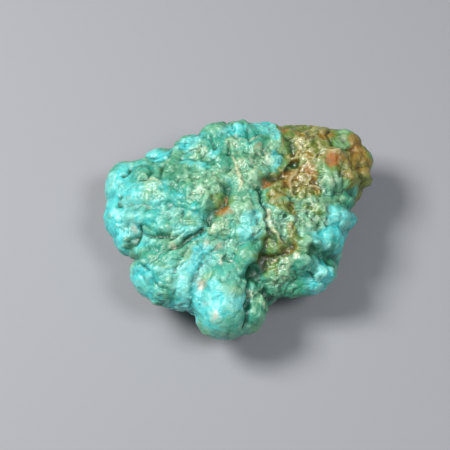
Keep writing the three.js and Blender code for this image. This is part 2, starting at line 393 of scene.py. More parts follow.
def lower_lumps():
    """The underside's swellings as ellipsoids, each hung by its lowest point."""
    x, y, along, across, lowest = UNDERSIDE.T
    up = np.full_like(x, UNDERSIDE_HALF_HEIGHT)
    return np.stack([x, y, lowest + up, along, across, up, np.zeros_like(x)], axis=1)


print(f"{len(BULK)} big lumps, {len(SWELLINGS)} swellings above, {len(UNDERSIDE)} below")

# %% [markdown]
# ## Melting the lumps together
# Nodules that grow side by side share a wall, and the skin dips into a crease between them. A soft
# minimum of the distances to all lumps does the same: away from a crease the nearest lump alone counts.
# The skin is then found by stepping along a ray from outside until the distance is zero. The rays leave
# a flat disc rather than one point, so that they spread evenly over a stone wider than it is high.

# %% Skin of the lumps
MELT_BULK = 0.6
MELT_SKIN = 0.32
MOST_EXPONENT = 60
TINIEST = 1e-26
DISC_HALF_X = 14
DISC_HALF_Y = 11
FIRST_REACH = 20
RAY_STEPS = 34
STEP_SHARE = 0.85


def distance_to(lump, points):
    """First-order distance to one ellipsoid: with the point scaled by the half sizes, its length times
    its length less one, over the length when scaled once more."""
    x, y, z, along, across, up, turn = lump
    cos, sin = math.cos(math.radians(turn)), math.sin(math.radians(turn))
    dx, dy, dz = points[:, 0] - x, points[:, 1] - y, points[:, 2] - z
    a, b, c = (dx * cos + dy * sin) / along, (dy * cos - dx * sin) / across, dz / up
    size = np.sqrt(a**2 + b**2 + c**2)
    slope = np.sqrt((a / along) ** 2 + (b / across) ** 2 + (c / up) ** 2)
    return size * (size - 1) / np.maximum(slope, 1e-9)


def melted(lumps, melt, points):
    """Soft minimum of the distances: minus melt times the logarithm of the sum, over the lumps, of the
    exponential of minus distance over melt."""
    total = np.zeros(len(points))
    for lump in lumps:
        total += np.exp(np.clip(-distance_to(lump, points) / melt, -MOST_EXPONENT, MOST_EXPONENT))
    return -melt * np.log(np.maximum(total, TINIEST))


def distance_to_stone(points):
    """The bulk melts broadly and the swellings sharply, and the same soft minimum joins the two."""
    bulk = melted(np.concatenate([BULK, lower_lumps()]), MELT_BULK, points)
    swollen = melted(upper_lumps(), MELT_SKIN, points)
    both = np.clip(np.stack([bulk, swollen]) / MELT_SKIN, -MOST_EXPONENT, MOST_EXPONENT)
    return -MELT_SKIN * np.log(np.exp(-both).sum(axis=0))


def skin_along(directions):
    """Start on the disc at the direction's own share of its half sizes, lean outwards with the
    direction, and step in from outside by a share of the distance left until none is left."""
    lean = np.hypot(directions[:, 0], directions[:, 1])
    disc = np.array([DISC_HALF_X, DISC_HALF_Y, 0])
    start = directions * disc + np.array([0, 0, WAIST])
    way = directions * np.stack([lean, lean, np.ones_like(lean)], axis=1)
    way /= np.linalg.norm(way, axis=1, keepdims=True)
    reach = np.full(len(directions), float(FIRST_REACH))
    for _ in range(RAY_STEPS):
        reach -= STEP_SHARE * distance_to_stone(start + way * reach[:, None])
    return start + way * reach[:, None]


skin = skin_along(directions)
print("skin spans", np.round(skin.min(axis=0), 1), "to", np.round(skin.max(axis=0), 1), "mm")
# %% [markdown]
# ## Noise that stands in for growth
# Three patterns from computer graphics stand in for the way turquoise grows and breaks. The first,
# gradient noise, swells and sinks smoothly at random. It is worked out from whole-number hashes rather
# than drawn from a random generator, so every run makes the same stone.

# %% Hashes and gradient noise
HASH_FACTORS = (73856093, 19349663, 83492791)
SEED_FACTOR = 2654435761
STIRS = ((16, 0x7FEB352D), (15, 0x846CA68B), (16, 1))
WORD = 2**32
NOISE_GAIN = 1.6


def hashed(cells, seed):
    """A number from 0 to 1 for each whole-number cell: its coordinates times three primes, joined by
    exclusive or and stirred by shifts and multiplications that wrap round at 32 bits."""
    mixed = np.full(cells.shape[:-1], (seed * SEED_FACTOR) % WORD, dtype=np.uint32)
    for axis, factor in enumerate(HASH_FACTORS):
        mixed ^= (cells[..., axis].astype(np.int64) * factor % WORD).astype(np.uint32)
    for shift, factor in STIRS:
        mixed ^= mixed >> np.uint32(shift)
        mixed *= np.uint32(factor)
    return mixed / np.float64(WORD)


def hashed_triple(cells, seed):
    """Three such numbers for each cell, from three seeds in a row."""
    return np.stack([hashed(cells, seed + k) for k in range(3)], axis=1)


def gradient_noise(points, seed):
    """Smooth noise from about -1 to 1: each corner of a point's unit cell has a random slope, and the
    eight slopes' heights at the point are blended by a curve that starts and ends level."""
    cell = np.floor(points)
    local = points - cell
    blend = local**3 * (local * (local * 6 - 15) + 10)
    total = np.zeros(len(points))
    for corner in np.ndindex(2, 2, 2):
        at = np.array(corner)
        slope = hashed_triple(cell + at, seed) - 0.5
        slope /= np.linalg.norm(slope, axis=1, keepdims=True)
        weight = np.prod(np.where(at, blend, 1 - blend), axis=1)
        total += weight * np.einsum("ij,ij->i", slope, local - at)
    return NOISE_GAIN * total


def noise_shift(points, size, amount, seed):
    """The points pushed about by three gradient noises, so that a pattern laid on them winds."""
    push = np.stack([gradient_noise(points / size, seed + 10 * k) for k in range(3)], axis=1)
    return points + amount * push


def smooth_step(value, start, end):
    """0 before start, 1 after end, and an s-shaped curve between them."""
    t = np.clip((value - start) / (end - start), 0, 1)
    return t * t * (3 - 2 * t)


wave = gradient_noise(skin / 5, 1)
print(f"waves 5 mm across run from {wave.min():.2f} to {wave.max():.2f} over the skin")

# %% [markdown]
# ## Nodules and broken faces
# Nodule noise scatters seeds, one to a cube of space, and lets a dome grow from each until it meets its
# neighbours, which is just how the mineral's little balls come to touch. Facet noise lays a flat face
# round each seed instead, tilted at random, as where thin shells of the stone have broken off.

# %% Nodule and facet noise
FURTHER_THAN_ANY = 9.0


def nearest_seed(points, seed):
    """Of the seeds scattered one to a unit cell, the nearest to each point: the distance to it squared,
    the offset from it, and its cell, which is found by trying the 27 cells round the point's own."""
    cell = np.floor(points)
    nearest = np.full(len(points), FURTHER_THAN_ANY)
    offset = np.zeros_like(points)
    home = np.zeros_like(points)
    for step in np.ndindex(3, 3, 3):
        there = cell + np.array(step) - 1
        away = points - there - hashed_triple(there, seed)
        distance = np.einsum("ij,ij->i", away, away)
        closer = distance < nearest
        nearest = np.where(closer, distance, nearest)
        offset = np.where(closer[:, None], away, offset)
        home = np.where(closer[:, None], there, home)
    return nearest, offset, home


def nodule_noise(points, seed):
    """One minus the squared distance to the nearest seed: domes about a unit across that meet in sharp
    creases. Also a random number that is one dome's own."""
    nearest, _, home = nearest_seed(points, seed)
    return 1 - nearest, hashed(home, seed + 3)


def facet_noise(points, seed):
    """Broken faces: the height is the offset from the nearest seed times a random slope of the seed's
    own, from -1 to 1 each way. Also a random number that is one face's own."""
    _, offset, home = nearest_seed(points, seed)
    slope = hashed_triple(home, seed + 4) * 2 - 1
    return np.einsum("ij,ij->i", offset, slope), hashed(home, seed + 3)


dome, _ = nodule_noise(skin / 3, 1)
print(f"domes 3 mm apart would rise to {dome.max():.2f} and meet as low as {dome.min():.2f}")

# %% [markdown]
# ## Which way the skin faces, and its neighbours
# Relief is raised along the skin's own direction, so each point needs a normal. Each point also needs to
# know its neighbours, because a hollow is simply a place that lies below the average of what is round it.

# %% Normals and neighbours
pairs = np.concatenate([quads[:, [k, (k + 1) % 4]] for k in range(4)])
neighbour_count = np.bincount(pairs[:, 0], minlength=len(directions))


def point_normals(points, quads):
    """The cross product of each cell's diagonals, added to its four corners and made one long."""
    a, b, c, d = (points[quads[:, k]] for k in range(4))
    facing = np.cross(c - a, d - b)
    total = np.zeros_like(points)
    for k in range(4):
        for axis in range(3):
            total[:, axis] += np.bincount(quads[:, k], weights=facing[:, axis], minlength=len(points))
    return total / np.linalg.norm(total, axis=1, keepdims=True)


def smoothed(values, rounds):
    """Each round moves every value half way to the mean of its neighbours'."""
    for _ in range(rounds):
        columns = values.reshape(len(values), -1)
        sums = [np.bincount(pairs[:, 0], weights=column[pairs[:, 1]], minlength=len(values))
                for column in columns.T]
        mean = (np.stack(sums, axis=1) / neighbour_count[:, None]).reshape(values.shape)
        values = (values + mean) / 2
    return values


print("each point has", neighbour_count.min(), "to", neighbour_count.max(), "neighbours")

# %% [markdown]
# ## Where each kind of ground lies
# The stone isn't the same all over. Host rock fills the back right and leaves a mossy film in the
# hollows beside it, with a few pale round nodules in it. Sky-blue turquoise sits on the outer nodules,
# and a deeper sea green between them, which is partly the stone's own tone and partly painted shade in
# the creases and under the knob. Some ground is wrinkled where thin shells broke off, and some is
# rubbed smooth. Rust and pale clay show as small spots. Each kind is a list of soft round patches, so
# that any of them can be moved alone.

# %% Tables of patches
# x, y, radius, strength
HOST_ROCK = [
    (12, 12, 4.6, 1.0), (17, 13, 4.8, 1.0), (22.5, 11.5, 3.8, 1.0), (10.5, 7.0, 3.4, 1.0),
    (11.4, 17.5, 4.6, 0.9), (16, 17, 3.4, 0.9), (6.4, 4.2, 2.2, 1.0), (11.4, 3.6, 2.6, 0.8),
    (8.0, -0.8, 2.2, 0.8), (5.0, 1.8, 2.0, 0.5), (8.6, -6.0, 1.6, 0.6), (5.2, -10.0, 2.2, 0.6),
    (3.2, -10.2, 1.4, 0.4), (7.8, -8.8, 1.5, 0.3), (-3.6, -0.4, 2.0, 0.65), (-2.4, 1.0, 1.6, 0.5),
    (-14.3, 8.0, 0.8, 0.5), (21.0, 8.6, 3.2, 1.0), (19.6, 7.2, 2.4, 0.9), (17.4, 8.4, 3.2, 0.8),
    (12.9, -0.8, 1.4, 0.5), (5.9, -7.6, 2.2, 0.42), (22.8, 15.0, 1.9, 0.55), (17.9, 14.2, 1.3, 0.5),
]
PALE_NODULES = [
    (5.6, -6.2, 1.6, 0.6), (10.8, -7.8, 1.6, 0.6), (13.0, -7.4, 1.4, 0.4), (19.6, 15.2, 2.2, 1.0),
    (16.4, 6.3, 2.0, 0.7), (11.2, 16.8, 1.8, 0.6), (17.6, 4.4, 1.8, 0.6), (8.8, 8.8, 1.4, 0.8),
    (13.6, 0.4, 1.6, 0.5), (9.2, 13.2, 1.5, 0.8),
]
WRINKLED = [
    (-15.6, 4.2, 2.4, 0.5), (-7.4, 2.6, 3.6, 0.5), (-7.6, 12.0, 2.6, 0.6), (-3.6, 5.6, 2.6, 0.5),
    (1.8, 8.2, 3.4, 0.8), (-1.2, 12.6, 2.0, 0.6), (6.2, 15.2, 2.0, 0.4), (2.0, 2.4, 3.0, 0.5),
    (7.0, -4.0, 3.4, 0.8), (12.0, -2.6, 3.4, 0.8), (12.0, 4.6, 4.2, 1.0), (12.2, 10.6, 3.2, 1.0),
    (16.4, 6.2, 2.4, 0.5), (13.6, 16.2, 3.2, 0.7), (18.2, 12.4, 2.2, 0.6), (7.2, -11.4, 2.4, 1.0),
    (-4.0, -4.4, 2.2, 0.7), (-3.8, -9.0, 1.6, 0.6), (-11.4, -10.6, 2.0, 0.5), (8.6, 8.4, 1.6, 0.8),
    (3.4, -16.6, 1.6, 0.9), (-1.0, -6.9, 1.6, 0.6), (3.0, 9.0, 2.2, 0.5),
]
SKY_BLUE = [
    (-22.5, 6, 4.4, 0.9), (-22.5, 0, 4.4, 0.9), (-20, -4.5, 3.2, 0.6), (-15.4, 13.2, 3.0, 0.8),
    (-18, 1.5, 4.0, 0.4), (-13, 1.8, 2.8, 0.4), (-12.6, -3.0, 3.0, 0.4), (-8.6, -4.2, 2.8, 0.8),
    (-18, -12.6, 3.2, 0.8), (-8.8, -13.0, 2.6, 1.0), (-10.0, -16.4, 3.0, 1.0), (-7.2, -10.0, 2.0, 0.9),
    (-13.6, -12.8, 2.2, 0.8), (-7.2, -16.6, 2.6, 1.0), (0.2, -17.0, 2.0, 0.5), (-2.6, 16.0, 2.6, 0.9),
    (-2.8, -20.0, 4.4, 0.6), (1.6, -4.2, 1.8, 0.8), (5.8, 10.0, 1.9, 1.0), (-9.2, 14.4, 2.8, 0.8),
    (-9.8, 9.2, 1.5, 0.6), (-7.0, 8.4, 1.2, 0.4), (-5.0, 11.2, 1.5, 0.6), (-3.2, 5.0, 1.6, 0.4),
    (5.6, 16.4, 2.8, 0.7), (0.4, 14.6, 2.2, 0.4), (17.8, -0.6, 3.2, 1.0), (20.4, -0.8, 2.4, 0.9),
    (16.6, -4.8, 3.4, 0.8), (13.6, -6.8, 2.0, 0.5), (15.6, -11.2, 2.8, 1.0), (14.4, -13.0, 2.4, 0.9),
    (12.4, -10.6, 1.8, 0.3), (-19.6, 8.8, 2.4, 0.4), (16.2, 0.2, 1.6, 0.5), (13.4, -12.4, 1.6, 0.7),
    (3.9, -5.4, 1.2, 0.7), (-9.0, -15.9, 1.8, 0.8),
]
# sea green: partly the stone's own deeper tone, partly painted shade in creases and under the knob
SEA_GREEN_AND_SHADE = [
    (-18.0, 7.4, 2.2, 0.8), (-12.8, 6.8, 2.6, 0.8), (-13.0, -0.2, 3.0, 0.5), (-19.0, 1.0, 2.0, 0.4),
    (-12.0, 11.4, 2.2, 0.4), (-3.2, 8.6, 2.0, 0.9), (1.8, 14.2, 2.4, 0.8), (-5.8, 14.4, 2.2, 0.8),
    (-1.6, 1.6, 1.8, 0.7), (-9.4, 1.4, 1.8, 0.5), (-16.2, -8.8, 2.8, 0.6), (-13.6, -14.6, 2.2, 0.6),
    (-15.0, -5.4, 2.0, 0.6), (1.4, -10.6, 2.6, 0.5), (2.8, -19.0, 2.2, 0.9), (7.8, -13.6, 3.0, 1.0),
    (18.6, 2.4, 2.0, 0.8), (12.0, -12.6, 2.4, 0.9), (13.2, -8.0, 2.4, 0.9), (9.2, 13.0, 1.6, 0.8),
    (-17.4, -9.6, 1.6, 0.6), (-12.8, -15.8, 1.6, 0.6), (4.4, -13.0, 1.6, 0.8), (16.8, -8.4, 2.0, 0.8),
    (19.4, 2.0, 2.0, 1.0), (20.8, 4.2, 1.6, 0.8), (0.8, -20.0, 1.4, 0.8), (-3.6, 18.4, 2.0, 0.8),
    (-4.0, 12.8, 1.6, 0.5), (3.4, -7.0, 1.8, 0.4), (-9.4, -6.6, 2.2, 0.5), (3.0, 0.6, 1.6, 0.5),
    (8.6, -9.0, 1.8, 0.6), (8.8, -12.3, 2.0, 0.8), (-0.4, -22.0, 2.4, 0.8), (7.4, -7.4, 1.8, 0.3),
]
RUST = [
    (-3.1, -1.5, 1.0, 0.8), (-2.2, -1.4, 0.9, 0.8), (-2.4, 1.4, 0.6, 0.5), (5.2, 4.0, 1.0, 0.7),
    (8.4, 4.6, 1.1, 0.6), (17.3, 9.5, 1.3, 1.0), (22.4, 12.2, 1.9, 0.5), (3.3, 12.3, 0.6, 0.5),
    (8.2, 16.5, 0.9, 0.5), (9.6, 6.8, 0.9, 0.4), (13.0, 7.6, 0.9, 0.5), (-4.0, -7.6, 0.6, 0.4),
]
PALE_SPECKS = [
    (-19.5, -2.9, 0.7, 0.8), (-12.4, -7.2, 0.6, 0.6), (-6.1, -7.4, 0.7, 0.7), (-3.4, -10.5, 0.6, 0.7),
    (-6.9, -14.0, 0.9, 0.8), (-4.6, -20.2, 0.8, 0.7), (19.5, 15.0, 0.8, 0.7), (-6.2, -17.8, 0.6, 0.6),
]
RUBBED_SMOOTH = [
    (-2.6, -19.5, 4.6, 0.75), (-22.5, 4, 5.0, 0.6), (-21.5, -3, 3.5, 0.4), (20, 0, 2.5, 0.3),
    (-9.4, -13.4, 2.6, 0.6), (-17.6, -13, 3.0, 0.6), (16.5, -4.6, 3.2, 0.4), (-15.4, 13.2, 2.6, 0.5),
    (20.0, 15.0, 2.8, 0.7), (1.4, -8.8, 2.8, 0.6),
]
print(f"patches: {len(HOST_ROCK)} host rock, {len(SKY_BLUE)} sky blue, {len(SEA_GREEN_AND_SHADE)} sea green")

# %% [markdown]
# ## Laying the patches
# Round patches would look like paint drops. The points are pushed about by noise before they are
# measured, which gives each patch a wandering edge, and a cloud breaks the host rock's edge up further.

# %% Patches of ground
EDGE_SOFTNESS = 0.45
PATCH_DROP = 0.5
PATCH_LEAN = 0.8
HOST_CLOUD_SIZE = 4.2
HOST_CLOUD = 0.25
HOST_EDGE = (0.1, 0.95)
PALE_CLEARS_HOST = 0.75
HOST_WRINKLES = 0.3


def patches(rows, points):
    """How far each point lies in any of the patches, 0 to 1: one minus the product of what each patch
    leaves out, where a patch is full inside its radius less a soft edge and gone outside it. Below the
    waist a patch fades with depth and slants sideways, as a seam of rock does."""
    left_out = np.ones(len(points))
    under = PATCH_DROP * np.maximum(WAIST - points[:, 2], 0)
    for x, y, radius, strength in rows:
        dx = points[:, 0] + PATCH_LEAN * under - x
        away = np.sqrt(dx**2 + (points[:, 1] - y) ** 2 + under**2) / radius
        left_out *= 1 - strength * smooth_step(-away, -1 - EDGE_SOFTNESS, -1 + EDGE_SOFTNESS)
    return 1 - left_out


wandering = noise_shift(noise_shift(skin, 5.0, 2.2, 31), 1.6, 0.9, 61)
pale_nodules = patches(PALE_NODULES, wandering)
host_cloud = HOST_CLOUD * gradient_noise(skin / HOST_CLOUD_SIZE, 41)
host = smooth_step(patches(HOST_ROCK, wandering) + host_cloud, *HOST_EDGE)
host *= 1 - PALE_CLEARS_HOST * pale_nodules
wrinkled = np.maximum(patches(WRINKLED, wandering), HOST_WRINKLES * host)
smooth_ground = patches(RUBBED_SMOOTH, skin)
print(f"host rock covers {host.mean():.0%} of the points")

# %% [markdown]
# ## Creases and veins
# Some lines run across several nodules: the long crease under the left shoulder, the deep one beside
# the knob, the valley along the host rock. Each is a short polyline with a width and a depth. Veins are
# thin seams of pale, harder mineral, which wear less than the stone round them and so stand proud.

# %% Tables of creases and veins
# width, depth, then the points the crease runs through
CREASES = [
    # the left shoulder
    (0.8, 0.35, [(-21.4, 1.6), (-18.2, 0.6), (-14.0, 0.2), (-10.4, -0.6)]),
    (0.6, 0.8, [(-20.9, -5.8), (-19.6, -5.2), (-18.4, -4.4)]),
    (0.5, 0.7, [(-20.6, -4.8), (-18.2, -3.4), (-15.8, -4.8), (-12.6, -5.5), (-10.4, -4.9)]),
    (0.6, 1.0, [(-12.4, -7.6), (-9.6, -6.6), (-7.2, -5.2), (-5.8, -3.6)]),
    (0.35, 0.6, [(-21.8, 8.0), (-20.9, 8.4), (-20.6, 9.6)]),
    (0.4, 0.4, [(-18.4, 5.8), (-16.8, 6.2), (-16.2, 9.0)]),
    (0.35, 0.5, [(-14.6, 6.8), (-14.3, 9.6)]),
    (0.4, 0.4, [(-16.0, 11.0), (-13.4, 11.2), (-12.8, 13.0)]),
    (0.5, 0.4, [(-22.2, 3.4), (-22.2, 1.6)]),
    # the valley in the middle
    (1.2, 1.5, [(-6.2, -2.9), (-4.6, -1.4), (-2.8, 0.6), (-2.2, 3.2)]),
    (0.4, 0.4, [(-6.0, 15.2), (-4.6, 12.2)]),
    (0.4, 0.5, [(-9.2, 12.6), (-7.4, 13.2)]),
    (0.35, 0.5, [(-2.0, 13.2), (-2.1, 10.6)]),
    (0.4, 0.4, [(1.6, 15.6), (2.0, 13.2)]),
    # the deep crease beside the knob and under the right edge
    (1.0, 1.05, [(9.0, -7.6), (7.4, -9.2), (4.8, -9.8), (3.6, -11.0), (2.2, -12.6)]),
    (0.6, 0.65, [(4.9, -6.8), (4.7, -8.8), (3.8, -10.8), (2.2, -12.3), (0.6, -13.0)]),
    (0.4, 1.0, [(2.2, -12.6), (1.6, -14.6), (1.4, -18.0)]),
    (0.35, 0.6, [(1.4, -18.0), (0.9, -21.6)]),
    (1.0, 1.6, [(13.4, -8.2), (15.2, -8.9), (17.4, -8.3), (19.8, -7.8)]),
    (0.7, 0.8, [(2.2, -12.6), (4.6, -13.6), (5.4, -16.0), (5.2, -18.0)]),
    # along the host rock
    (0.9, 1.1, [(9.9, 9.4), (8.4, 7.0), (6.0, 5.2), (3.6, 3.2)]),
    (0.5, 0.7, [(3.6, 3.2), (4.0, 0.4), (4.9, -1.6), (5.2, -5.0), (6.4, -7.2)]),
    (0.8, 0.8, [(9.4, 14.4), (9.8, 12.4), (9.9, 9.4)]),
    (0.4, 0.5, [(9.8, 13.8), (11.0, 14.0), (11.8, 12.6)]),
    (0.4, 0.6, [(17.2, 17.4), (16.6, 15.2), (17.4, 13.0), (19.4, 12.0), (21.6, 12.6)]),
    (0.3, 0.3, [(18.9, 15.7), (18.8, 14.6), (19.7, 14.1), (20.6, 14.8), (20.2, 15.8), (19.2, 15.9)]),
    # the fan
    (0.3, 0.25, [(-17.7, -10.8), (-15.8, -9.9), (-13.0, -8.0)]),
    (0.35, 0.4, [(-18.4, -9.8), (-16.0, -11.9), (-14.8, -14.4), (-13.0, -15.2)]),
    (0.35, 0.3, [(-11.8, -12.2), (-10.6, -10.0), (-9.2, -8.0)]),
    (0.3, 0.2, [(-15.6, -11.0), (-13.6, -9.2), (-12.0, -7.6)]),
    (0.6, 0.3, [(-6.9, -9.8), (-8.1, -12.4), (-8.9, -14.6)]),
]
# width, height, then the points: thin pale veins that stand proud
VEINS = [
    (0.22, 0.30, [(-1.5, 9.9), (-0.8, 7.6), (0.1, 5.0), (0.1, 2.6)]),
    (0.22, 0.30, [(4.9, -1.2), (6.0, -5.2), (7.6, -7.0)]),
    (0.20, 0.20, [(2.2, 13.6), (4.4, 14.6)]),
    (0.22, 0.25, [(14.6, 13.2), (15.4, 11.8), (17.4, 11.2), (19.6, 11.8)]),
    (0.20, 0.20, [(10.9, 14.0), (11.6, 12.3), (12.8, 12.9), (13.4, 14.2)]),
    (0.20, 0.20, [(9.5, 6.6), (9.2, 4.0), (9.8, 1.8)]),
    (0.20, 0.20, [(14.8, 4.2), (13.2, 4.6), (12.4, 3.2), (13.0, 1.4)]),
    (0.20, 0.20, [(11.0, 10.0), (12.6, 9.2), (13.0, 7.6), (14.6, 8.6)]),
    (0.20, 0.20, [(-9.4, 12.0), (-7.8, 12.6), (-6.4, 12.2)]),
    (0.20, 0.20, [(-17.4, 5.2), (-16.2, 6.2), (-15.0, 5.8), (-14.4, 4.6)]),
]
print(f"{len(CREASES)} creases and {len(VEINS)} veins")

# %% [markdown]
# ## Cutting the creases and raising the veins
# A groove with a round bottom is a bell curve of the distance to its line. The lines are drawn in plan,
# so they are let in above the waist only, and noise makes them wind as a natural crack does.

# %% Creases and veins
UPPER_ONLY = (WAIST - 4, WAIST + 1)


def near_line(points, line):
    """Plan distance from each point to the nearest of a polyline's stretches: the point is dropped onto
    each stretch, no further than its ends."""
    nearest = np.full(len(points), np.inf)
    plan = points[:, :2]
    for start, end in zip(np.array(line[:-1], float), np.array(line[1:], float)):
        run = end - start
        share = np.clip((plan - start) @ run / (run @ run), 0, 1)
        nearest = np.minimum(nearest, np.linalg.norm(plan - start - share[:, None] * run, axis=1))
    return nearest


def line_relief(lines, points):
    """The sum over the lines of height times a bell curve of distance over width, above the waist."""
    total = np.zeros(len(points))
    for line_width, line_height, line in lines:
        total += line_height * np.exp(-((near_line(points, line) / line_width) ** 2))
    return total * smooth_step(points[:, 2], *UPPER_ONLY)


winding = noise_shift(skin, 2.2, 0.5, 91)
creases = line_relief(CREASES, winding)
veins = line_relief(VEINS, noise_shift(winding, 0.9, 0.25, 95))
print(f"deepest crease {creases.max():.1f} mm, highest vein {veins.max():.1f} mm")

# %% [markdown]
# ## Nodules of three sizes
# The mineral's balls come in all sizes, small ones riding on large. Each size is a nodule noise of its
# own, and each ball's height is partly its own too, or the skin would look like a raspberry. Half a
# millimetre stands out boldly on a stone this size. Rubbing takes most of it off the smooth ground.

# %% Nodules
# spacing and height in mm, then the least share of the height and the share that is each ball's own
BROAD_BALLS = (2.9, 0.55, 0.35, 0.8)
SMALL_BALLS = (1.45, 0.36, 0.2, 1.0)
TINY_BALLS = (0.75, 0.13, 0.5, 0.5)
BILLOW_SIZE = 2.1
BILLOW_HEIGHT = 0.28
RUBBED_AWAY = 0.7
FOLDED_AWAY = 0.45
FOLD_START = 2.0
FOLD_FULL = 8.0



def balls(kind, points, seed, own=None):
    """Height times the dome times its share: the least share plus the varied share times the ball's own
    random number, or times another size's number where one is given. Returns that number too."""
    spacing, ball_height, least, varied = kind
    dome, dome_own = nodule_noise(points / spacing, seed)
    own = dome_own if own is None else own
    return ball_height * dome * (least + varied * own), own


wound = noise_shift(skin, 3.6, 1.1, 101)
upper = smooth_step(skin[:, 2], *UPPER_ONLY)
unrubbed = 1 - RUBBED_AWAY * smooth_ground
fold_share = smooth_step(-skin[:, 0], FOLD_START, FOLD_FULL) * upper * unrubbed

broad, broad_own = balls(BROAD_BALLS, wound, 121)
small, small_own = balls(SMALL_BALLS, noise_shift(skin, 1.7, 0.45, 131), 141)
tiny, _ = balls(TINY_BALLS, noise_shift(skin, 1.0, 0.3, 181), 191, small_own)
billow = BILLOW_HEIGHT * np.abs(gradient_noise(wound / BILLOW_SIZE, 151))
lift = unrubbed * (broad * (1 - FOLDED_AWAY * fold_share) + small + tiny + billow)
print(f"nodules raise the skin by up to {lift.max():.2f} mm")

# %% [markdown]
# ## Folds, ridges and broken faces
# On the left, folds run out from the middle like the ribs of a shell. On wrinkled ground, thin sharp
# ridges stand between small faces that broke at every angle, which catch the light as bright glints.

# %% Folds, ridges and broken faces
FOLD_HUB = (-3.5, -3.5)
FOLD_LENGTH = 4.2
FOLD_THICKNESS = 5.0
FOLDS_PER_RADIAN = 6.0
FOLD_HEIGHT = 0.30
FINER_FOLD = 1.9
RIDGE_SHARPNESS = 2.6
RIDGE_HEIGHT = 0.22
FACE_SIZE, FACE_HEIGHT = 1.7, 0.50
CHIP_SIZE, CHIP_HEIGHT = 0.9, 0.24


def folds(points):
    """Billows drawn out along lines that leave the hub: distance from the hub counts little and the
    angle about it counts much, so the noise's hills become long ribs. The size of the noise makes
    round-backed ribs with sharp creases."""
    x, y = points[:, 0] - FOLD_HUB[0], points[:, 1] - FOLD_HUB[1]
    turned = np.arctan2(y, -x) * FOLDS_PER_RADIAN
    polar = np.stack([np.hypot(x, y) / FOLD_LENGTH, turned, points[:, 2] / FOLD_THICKNESS], axis=1)
    return np.abs(gradient_noise(polar, 201)) + 0.4 * np.abs(gradient_noise(polar * FINER_FOLD, 211))


def ridges(points, size, seed):
    """Thin ridges where gradient noise crosses zero: one minus the size of the noise, squared."""
    return (1 - np.minimum(np.abs(gradient_noise(points / size, seed)) * RIDGE_SHARPNESS, 1)) ** 2


face, face_own = facet_noise(noise_shift(skin, 2.0, 0.5, 241) / FACE_SIZE, 251)
chip, _ = facet_noise(skin / CHIP_SIZE, 271)
broken = smoothed(FACE_HEIGHT * face + CHIP_HEIGHT * chip, 1)
ridged = RIDGE_HEIGHT * (ridges(wound, 1.9, 221) + 0.5 * ridges(wound, 0.95, 231))
lift += FOLD_HEIGHT * folds(noise_shift(skin, 3.0, 1.1, 171)) * fold_share
lift += (ridged + broken) * wrinkled * upper
print(f"broken faces raise or sink it by up to {np.abs(broken).max():.2f} mm")

# %% [markdown]
# ## Raising the relief
# The relief's own average is taken off first, so that the big lumps keep their place. Then each point
# moves along the normal of a slightly smoothed skin, as the normals of a sharp crease would cross.

# %% Raise the relief
LEVEL_ROUNDS = 60
NORMAL_ROUNDS = 3

lift -= smoothed(lift, LEVEL_ROUNDS)
skin_normals = point_normals(smoothed(skin, NORMAL_ROUNDS), quads)
stone = skin + skin_normals * (lift - creases + veins)[:, None]
print(f"relief from {lift.min():.2f} to {lift.max():.2f} mm")

# %% [markdown]
# ## The worn underside, and the fit to the model
# A nugget lies on the high spots of its broad side, which are worn flat, so nothing goes below the
# ground. The drawn stone is then stretched, by a hair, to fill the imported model's box exactly.

# %% Fit to the model
stone[:, 2] = np.maximum(stone[:, 2], 0)
drawn_low, drawn_high = stone.min(axis=0), stone.max(axis=0)
stone_metres = low + (stone - drawn_low) * (high - low) / (drawn_high - drawn_low)
print("drawn size", np.round(drawn_high - drawn_low, 2), "mm")

# %% [markdown]
# ## What the colours need to know
# Colour follows form on turquoise. Creases and hollows are painted dark green and brown as painted
# shade, crests are painted pale as a painted highlight, and the sky-blue is on the outer nodules. Each
# of these becomes a number at every point, which the material reads by name.

# %% Shape measures for the colours
# rounds of smoothing, and the gap in millimetres that counts as full: fine, broad, deep
GAPS = [(4, 0.10), (30, 0.55), (140, 1.6)]
FULL_VEIN = 0.25
mesh_normals = point_normals(stone, quads)


def below_average(rounds, full):
    """How far a point lies under the smoothed stone, along its normal, over full, from -1 to 1."""
    gap = np.einsum("ij,ij->i", smoothed(stone, rounds) - stone, mesh_normals)
    return np.clip(gap / full, -1, 1)


fine_gap, broad_gap, deep_gap = (below_average(*gap) for gap in GAPS)
measures = {
    # painted shade: how deep a point lies in a crease or hollow, which the material paints darker
    "hollow_shade": np.clip(0.5 * fine_gap + 0.6 * broad_gap + 0.8 * deep_gap + 0.3 * creases, 0, 1),
    # painted highlight: how far a point stands on a crest, which the material paints paler
    "crest_highlight": np.clip(-0.6 * fine_gap - 0.6 * broad_gap, 0, 1),
    "host": host,
    "sky": patches(SKY_BLUE, wandering),
    "sea_and_shade": patches(SEA_GREEN_AND_SHADE, wandering),
    "rust": patches(RUST, noise_shift(skin, 1.3, 0.6, 71)),
    "wrinkled": wrinkled,
    "pale": pale_nodules,
    "speck": patches(PALE_SPECKS, noise_shift(skin, 0.9, 0.5, 81)),
    "vein": np.clip(veins / FULL_VEIN, 0, 1),
    "nodule": broad_own,
    "face": face_own,
}
for name, values in measures.items():
    print(f"{name}: mean {values.mean():.2f}, most {values.max():.2f}")

# %% [markdown]
# ## The mesh
# The six grids become one closed mesh of four-sided cells. Each grid also gets its own square tile of a
# texture map, three tiles across and two up.

# %% Mesh
TILE_MARGIN = 0.01


